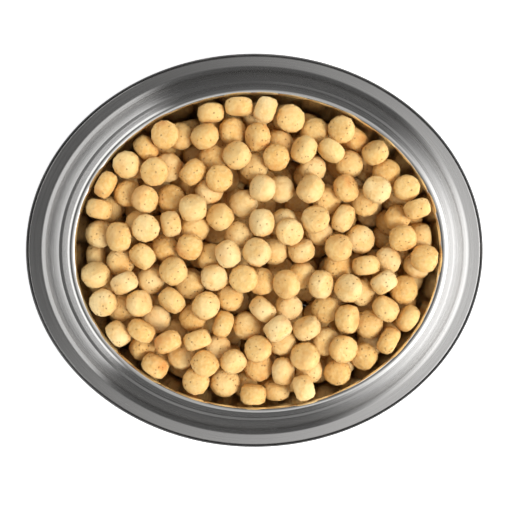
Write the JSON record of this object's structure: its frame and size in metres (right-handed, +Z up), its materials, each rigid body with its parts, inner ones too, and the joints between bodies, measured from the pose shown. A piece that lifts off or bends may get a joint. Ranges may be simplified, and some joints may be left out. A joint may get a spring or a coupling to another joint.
{
  "type": "pet bowl with dry food",
  "caption": "Low oval steel pet bowl with a sloping stepped skirt, rolled rim and rubber foot ring, heaped with small round dry kibble.",
  "frame": {"origin": "on the surface that the bowl stands on, under the middle of the oval", "axes": "+X along the long side of the oval, +Y along its short side, +Z up out of the bowl"},
  "size_m": [0.165, 0.142, 0.0512],
  "materials": {
    "shell_steel": "brushed round the oval",
    "basin_steel": "fine brushed, half polished inside",
    "ring_rubber": "matte moulded rubber",
    "kibble": "baked dry food, dull golden with darker specks",
    "kibble_deep": "baked dry food in shadow"
  },
  "bodies": {
    "root": {"base_ring": "ring_rubber", "outer_shell": "shell_steel", "inner_basin": "basin_steel", "kibble_bed": "kibble_deep", "kibble_01": "kibble", "kibble_02": "kibble", "kibble_03": "kibble", "kibble_04": "kibble", "kibble_05": "kibble", "kibble_06": "kibble", "kibble_07": "kibble", "kibble_08": "kibble", "kibble_09": "kibble", "kibble_10": "kibble", "kibble_11": "kibble", "kibble_12": "kibble", "kibble_13": "kibble", "kibble_14": "kibble", "kibble_15": "kibble", "kibble_16": "kibble", "kibble_17": "kibble", "kibble_18": "kibble", "kibble_19": "kibble", "kibble_20": "kibble", "kibble_21": "kibble", "kibble_22": "kibble", "kibble_23": "kibble", "kibble_24": "kibble", "kibble_25": "kibble", "kibble_26": "kibble", "kibble_27": "kibble", "kibble_28": "kibble", "kibble_29": "kibble", "kibble_30": "kibble", "kibble_31": "kibble", "kibble_32": "kibble", "kibble_33": "kibble", "kibble_34": "kibble", "kibble_35": "kibble", "kibble_36": "kibble", "kibble_37": "kibble", "kibble_38": "kibble", "kibble_39": "kibble", "kibble_40": "kibble", "kibble_41": "kibble", "kibble_42": "kibble", "kibble_43": "kibble", "kibble_44": "kibble", "kibble_45": "kibble", "kibble_46": "kibble", "kibble_47": "kibble", "kibble_48": "kibble", "kibble_49": "kibble", "kibble_50": "kibble", "kibble_51": "kibble", "kibble_52": "kibble"}
  },
  "joints": []
}
